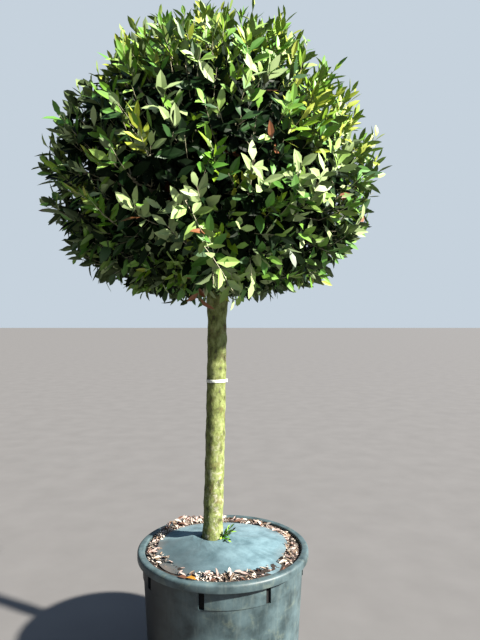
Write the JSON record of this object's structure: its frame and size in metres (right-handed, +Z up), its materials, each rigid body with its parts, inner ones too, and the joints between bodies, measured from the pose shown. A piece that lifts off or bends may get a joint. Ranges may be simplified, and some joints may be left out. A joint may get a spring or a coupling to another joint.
{
  "type": "standard bay topiary",
  "caption": "Dense clipped ball of bay leaves on a tall clear stem, standing in a wide round black nursery pot with a weed mat and mulch.",
  "frame": {"origin": "middle of the pot's flat underside, on the surface it stands on", "axes": "+Z up along the pot's axis, -Y towards the side seen in the picture, +X to that side's right"},
  "size_m": [1.4922, 1.48, 2.9179],
  "materials": {
    "pot": "weathered black polyethylene, satin and dusty",
    "soil": "dark damp compost, matt",
    "weed_mat": "blue-grey needled felt, matt",
    "mulch": "dry bark and leaf litter, matt",
    "trunk_bark": "smooth olive bark with yellow-green lichen",
    "bough_bark": "smooth olive-brown bark",
    "tie": "white plastic strap",
    "leaves": "leathery evergreen leaves, glossy above and paler beneath",
    "young_leaves": "young bright green leaves, satin"
  },
  "bodies": {
    "root": {"pot": "pot", "soil": "soil", "weed_mat": "weed_mat", "mulch": "mulch", "trunk": "trunk_bark", "trunk_tie": "tie", "basal_shoot": "young_leaves", "bough_1": "bough_bark", "bough_2": "bough_bark", "bough_3": "bough_bark", "bough_4": "bough_bark", "bough_5": "bough_bark", "bough_6": "bough_bark", "leader_1": "bough_bark", "leader_2": "bough_bark", "leader_3": "bough_bark", "foliage_side_1": "leaves", "foliage_side_2": "leaves", "foliage_side_3": "leaves", "foliage_side_4": "leaves", "foliage_side_5": "leaves", "foliage_side_6": "leaves", "foliage_top_1": "leaves", "foliage_top_2": "leaves", "foliage_top_3": "leaves"}
  },
  "joints": []
}
